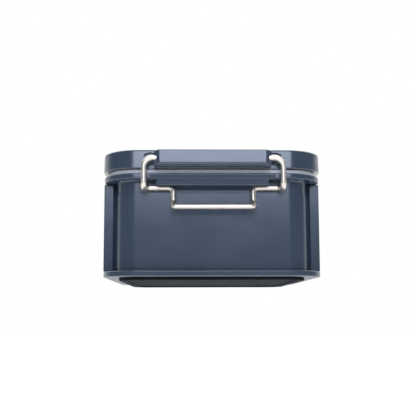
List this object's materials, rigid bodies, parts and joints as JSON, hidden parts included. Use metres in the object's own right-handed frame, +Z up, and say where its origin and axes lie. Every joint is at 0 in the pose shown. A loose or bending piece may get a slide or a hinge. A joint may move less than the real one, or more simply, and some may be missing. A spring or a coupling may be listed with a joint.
{
  "type": "lunch box",
  "caption": "Rectangular lunch box with a deep tub, a lift-off lid on a soft seal, side panels and a hinged wire clip at each end.",
  "frame": {"origin": "middle of the foot's underside, on the table", "axes": "+X to the box's right as seen from the front clip, +Y from the front clip to the rear clip, +Z up through the lid"},
  "size_m": [0.111, 0.154, 0.0643],
  "materials": {
    "satin_navy": "satin moulded, dark navy",
    "soft_grey": "soft matt silicone, light grey",
    "dark_foot": "matt black",
    "stainless": "bright drawn stainless wire"
  },
  "bodies": {
    "tub": {"body_tub": "satin_navy", "base_foot": "dark_foot", "side_panel_left": "satin_navy", "side_panel_right": "satin_navy"},
    "lid": {"lid_shell": "satin_navy", "lid_liner": "satin_navy", "lid_seal": "soft_grey"},
    "front_clip": {"clip_front": "stainless"},
    "rear_clip": {"clip_rear": "stainless"}
  },
  "joints": [
    {"name": "lid_lift", "type": "slide", "parent": "tub", "child": "lid", "axis": [0, 0, 1], "range_m": [0, 0.008]},
    {"name": "front_clip_swing", "type": "hinge", "parent": "lid", "child": "front_clip", "pos_m": [0, -0.0742, 0.05937], "axis": [-1, 0, 0], "range_deg": [0, 190]},
    {"name": "rear_clip_swing", "type": "hinge", "parent": "lid", "child": "rear_clip", "pos_m": [0, 0.0742, 0.05937], "axis": [1, 0, 0], "range_deg": [0, 190]}
  ],
  "couplings": [
    {"joint": "front_clip_swing", "follows": "lid_lift", "rad_per_m": 414},
    {"joint": "rear_clip_swing", "follows": "lid_lift", "rad_per_m": 414}
  ]
}
